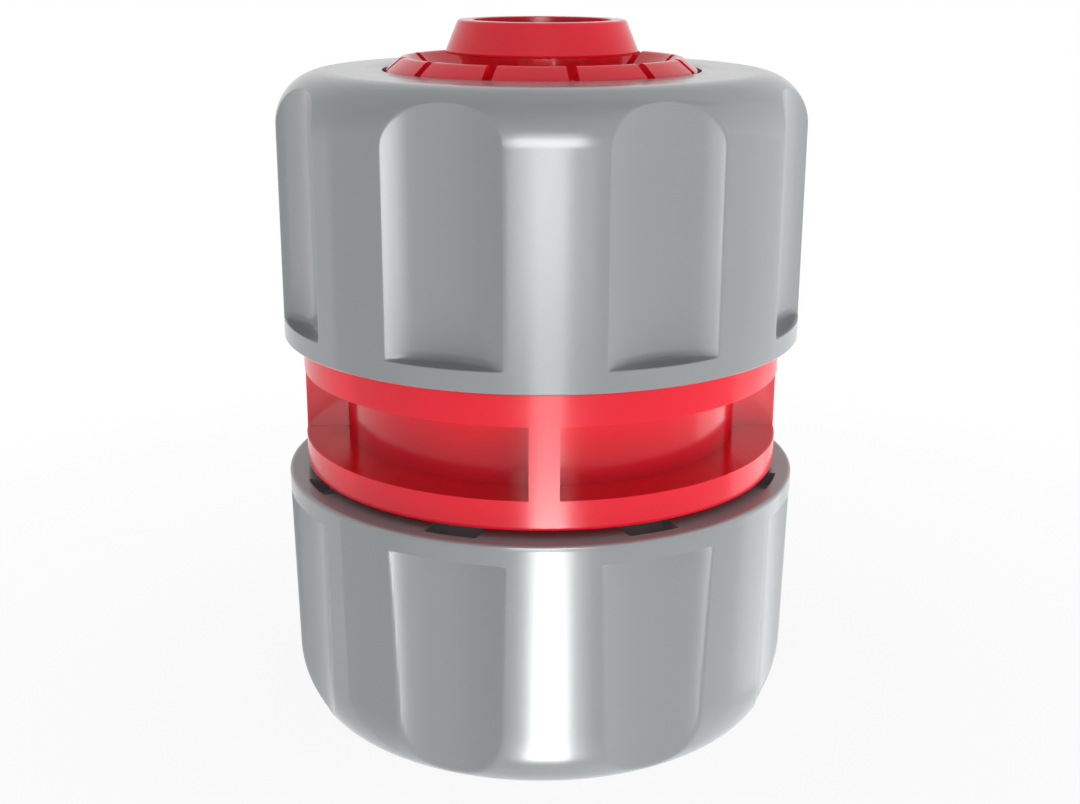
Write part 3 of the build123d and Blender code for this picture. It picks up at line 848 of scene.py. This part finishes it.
# %% Floor
FADE_START, FADE_PER_METRE = 0.02, 14.0
f = Finish("floor_white")
camera_ray = f.node("ShaderNodeLightPath", out=0)
place = f.node("ShaderNodeTexCoord", out=3)
distance = f.node("ShaderNodeVectorMath", {"operation": "LENGTH"}, {0: place}, out=1)
far_share = ((distance - FADE_START) * FADE_PER_METRE).at_least(0.0).at_most(1.0)
matt = f.node("ShaderNodeBsdfDiffuse", sockets={"Color": (0.93, 0.93, 0.93, 1.0)})
glow = f.node("ShaderNodeEmission", sockets={"Color": (1.0, 1.0, 1.0, 1.0), "Strength": 1.0})
floor_finish = f.finish(f.node("ShaderNodeMixShader", sockets={
    0: camera_ray * (0.9 + 0.1 * far_share), 1: matt, 2: glow}))
side = 1400.0
floor = new_mesh_object("floor", [(-side, -side, 0), (side, -side, 0), (side, side, 0), (-side, side, 0)],
                        [[0, 1, 2, 3]], floor_finish)
floor.visible_shadow = False
floor.visible_glossy = False
print("floor side:", 2 * side * MM, "m")

# %% [markdown]
# ## The white room
#
# The world is white where the camera or a reflection looks at it. As a light on matt
# surfaces it is weaker, so that the lamps still give the pieces some shape.

# %% World
ROOM_LIGHT = 0.5
world = bpy.data.worlds.new("white room")
bpy.context.scene.world = world
world.use_nodes = True
tree = world.node_tree
tree.nodes.clear()
ray = tree.nodes.new("ShaderNodeLightPath")
looked_at = tree.nodes.new("ShaderNodeMath")
looked_at.operation = "MAXIMUM"
room = tree.nodes.new("ShaderNodeBackground")
room.inputs["Strength"].default_value = ROOM_LIGHT
ground = tree.nodes.new("ShaderNodeBackground")
ground.inputs["Strength"].default_value = 1.0
for background in (room, ground):
    background.inputs["Color"].default_value = (1.0, 1.0, 1.0, 1.0)
mix = tree.nodes.new("ShaderNodeMixShader")
end = tree.nodes.new("ShaderNodeOutputWorld")
tree.links.new(ray.outputs["Is Camera Ray"], looked_at.inputs[0])
tree.links.new(ray.outputs["Is Glossy Ray"], looked_at.inputs[1])
tree.links.new(looked_at.outputs[0], mix.inputs[0])
tree.links.new(room.outputs[0], mix.inputs[1])
tree.links.new(ground.outputs[0], mix.inputs[2])
tree.links.new(mix.outputs[0], end.inputs[0])
print("room light:", ROOM_LIGHT)

# %% [markdown]
# ## Lamps
#
# A turned gloss surface shows its lamps as upright stripes. Each lamp is given by its brightness, where 1 is
# white paper, and its power follows from that and its area. There are two kinds. The fills light the matt
# part of the colour softly from both sides, the front and below, and no reflection shows them. The gloss
# lamps are the opposite, and only reflections show them: four overlapping ones give the nut its soft band,
# two above them its bright brow, one below them the light on the cage, and a low one, with a paler and wider
# one behind it, the sleeve's white stripe. A last one lights the sleeve's right edge.


# %% Lamps
def panel(name, azimuth, elevation, distance, width, height, brightness, target=(0, 0, 25), kind="fill"):
    """A rectangular lamp at an azimuth, elevation and distance from a target point, which it faces."""
    lamp = bpy.data.lights.new(name, "AREA")
    lamp.shape = "RECTANGLE"
    lamp.size = width * MM
    lamp.size_y = height * MM
    lamp.energy = math.pi * lamp.size * lamp.size_y * brightness
    obj = bpy.data.objects.new(name, lamp)
    bpy.context.scene.collection.objects.link(obj)
    a, e = math.radians(azimuth), math.radians(elevation)
    back = np.array([math.sin(a) * math.cos(e), -math.cos(a) * math.cos(e), math.sin(e)])
    right = np.array([math.cos(a), math.sin(a), 0.0])
    up = np.cross(back, right)
    place = (np.array(target, float) + back * distance) * MM
    turned = np.column_stack([right, up, back, place])
    obj.matrix_world = Matrix([*turned.tolist(), [0, 0, 0, 1]])
    obj.visible_diffuse = kind == "fill"
    obj.visible_glossy = kind == "gloss"
    return obj


panel("left side", -108, -4, 600, 400, 600, 0.7)
panel("right side", 108, -4, 600, 400, 600, 1.05)
panel("front fill", 28, -14, 800, 700, 500, 4.8)
panel("low fill", 10, -56, 700, 600, 500, 3.6)
nut_front = (0, -NUT_R, 38)
brow_front = (0, -NUT_R, 44)
cage_front = (0, -CAGE_R, 22.5)
sleeve_front = (0, -RIM_R, 8)
nut_stripes = ((4, -6, 330, 2.1), (0, -5, 215, 2.3), (2, -3.5, 175, 2.7), (3.5, -3, 120, 3.6))
for azimuth, elevation, width, brightness in nut_stripes:
    panel("nut gloss", azimuth, elevation, 500, width, 170, brightness, nut_front, "gloss")
panel("brow gloss", 2.5, 14, 500, 290, 140, 9.5, brow_front, "gloss")
panel("brow gloss high", 2.5, 18, 500, 250, 250, 5.5, brow_front, "gloss")
panel("cage gloss", 3.5, -17, 500, 125, 85, 4.3, cage_front, "gloss")
panel("sleeve gloss", 4.6, -39.5, 500, 145, 355, 20.0, sleeve_front, "gloss")
panel("sleeve gloss wide", 5.5, -39.5, 530, 270, 375, 3.0, sleeve_front, "gloss")
panel("right edge gloss", 120, -22, 500, 300, 140, 0.9, (0, 0, 10), "gloss")
print("lamps:", len(bpy.data.lights))

# %% [markdown]
# ## Camera
#
# The camera stands as the photograph's did: 110 mm in front of the axis and 56 mm above the table,
# looking down 16.6 degrees through a 50 mm lens, and rolled by a fifth of a degree.

# %% Camera
SENSOR, FOCAL_PIXELS, PHOTO_PIXELS = 36.0, 1507.6, 1080
EYE = (-0.05, -110.25, 55.54)
LOOKS_DOWN, ROLL = 16.63, 0.206
lens = bpy.data.cameras.new("photo camera")
lens.sensor_fit = "HORIZONTAL"
lens.sensor_width = SENSOR
lens.lens = FOCAL_PIXELS / PHOTO_PIXELS * SENSOR
lens.clip_start = 0.005
camera = bpy.data.objects.new("photo camera", lens)
bpy.context.scene.collection.objects.link(camera)
tilt = Matrix.Rotation(math.radians(90 - LOOKS_DOWN), 4, "X") @ Matrix.Rotation(math.radians(ROLL), 4, "Z")
camera.matrix_world = Matrix.Translation([c * MM for c in EYE]) @ tilt
bpy.context.scene.camera = camera
bpy.context.scene.view_settings.view_transform = "Standard"
